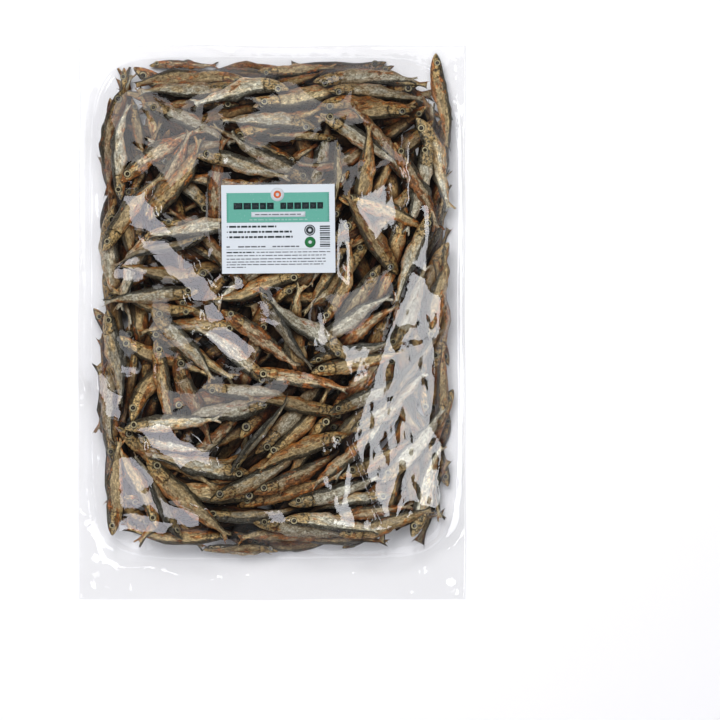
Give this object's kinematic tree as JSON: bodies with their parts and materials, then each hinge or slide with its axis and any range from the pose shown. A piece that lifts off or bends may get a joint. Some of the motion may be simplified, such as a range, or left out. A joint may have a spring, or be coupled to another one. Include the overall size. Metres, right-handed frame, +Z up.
{
  "type": "clear bag of dried sprats",
  "caption": "Clear sealed film bag, lying flat, filled with whole dried sprats that show through it, with a flat margin all round and a rectangular paper label on its front.",
  "frame": {"origin": "under the middle of the bag, on the surface that it lies on", "axes": "+Z up out of the front of the bag, +Y towards the top of its front, +X to the right of its front"},
  "size_m": [0.35, 0.5, 0.047],
  "materials": {
    "sprats": "dried silvery brown fish skin",
    "clear_film": "clear glossy film",
    "label_paper": "smooth printed paper"
  },
  "bodies": {
    "root": {"bag": "sprats", "label": "label_paper"}
  },
  "joints": []
}
